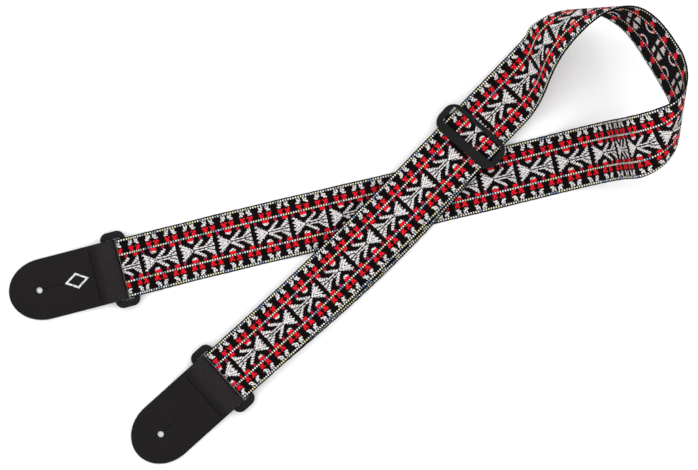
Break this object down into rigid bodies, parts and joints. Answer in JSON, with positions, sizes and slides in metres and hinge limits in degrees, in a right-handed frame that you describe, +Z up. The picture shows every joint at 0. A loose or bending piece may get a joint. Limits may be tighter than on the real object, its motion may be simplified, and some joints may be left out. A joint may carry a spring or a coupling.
{
  "type": "guitar strap",
  "caption": "Adjustable woven guitar strap with leather button ends, rectangular end rings and a length slider, laid flat with a loose curl.",
  "frame": {"origin": "axis of the first leather end's strap-button hole, on the surface the strap lies on", "axes": "+Z up from the surface, +X to the right across the laid strap, +Y away from the viewer"},
  "size_m": [0.5465, 0.3754, 0.1142],
  "materials": {
    "webbing": "woven jacquard, matte",
    "leather": "matte",
    "plastic": "satin",
    "thread": "matte"
  },
  "bodies": {
    "band": {"webbing_fixed_end": "webbing", "webbing_lower_arm": "webbing", "webbing_right_curl": "webbing", "webbing_back_run": "webbing", "webbing_top_curl": "webbing", "webbing_upper_arm": "webbing", "webbing_ring_b_fold": "webbing", "webbing_under_run": "webbing", "fixed_end_seam": "thread"},
    "ring_a": {"end_ring_a": "plastic"},
    "tab_a": {"leather_end_a": "leather", "leather_seam_a": "thread"},
    "ring_b": {"end_ring_b": "plastic"},
    "tab_b": {"leather_end_b": "leather", "leather_seam_b": "thread"},
    "slider_body": {"slider": "plastic", "webbing_tail_loop": "webbing", "tail_seam": "thread"}
  },
  "joints": [
    {"name": "ring_a_swing", "type": "hinge", "parent": "band", "child": "ring_a", "pos_m": [0.07552, 0.01953, 0.0046], "axis": [-0.2504, 0.9681, 0], "range_deg": [-80, 80]},
    {"name": "tab_a_swing", "type": "hinge", "parent": "ring_a", "child": "tab_a", "pos_m": [0.06003, 0.01552, 0.0046], "axis": [-0.2504, 0.9681, 0], "range_deg": [-80, 80]},
    {"name": "ring_b_swing", "type": "hinge", "parent": "band", "child": "ring_b", "pos_m": [0.15895, -0.06765, 0.0046], "axis": [-0.6691, 0.7431, 0], "range_deg": [-80, 80]},
    {"name": "tab_b_swing", "type": "hinge", "parent": "ring_b", "child": "tab_b", "pos_m": [0.14705, -0.07835, 0.0046], "axis": [-0.6691, 0.7431, 0], "range_deg": [-80, 80]},
    {"name": "slider_slide", "type": "slide", "parent": "band", "child": "slider_body", "axis": [0.6947, 0.7193, 0], "range_m": [-0.06, 0], "deforming": ["webbing_under_run"]}
  ]
}
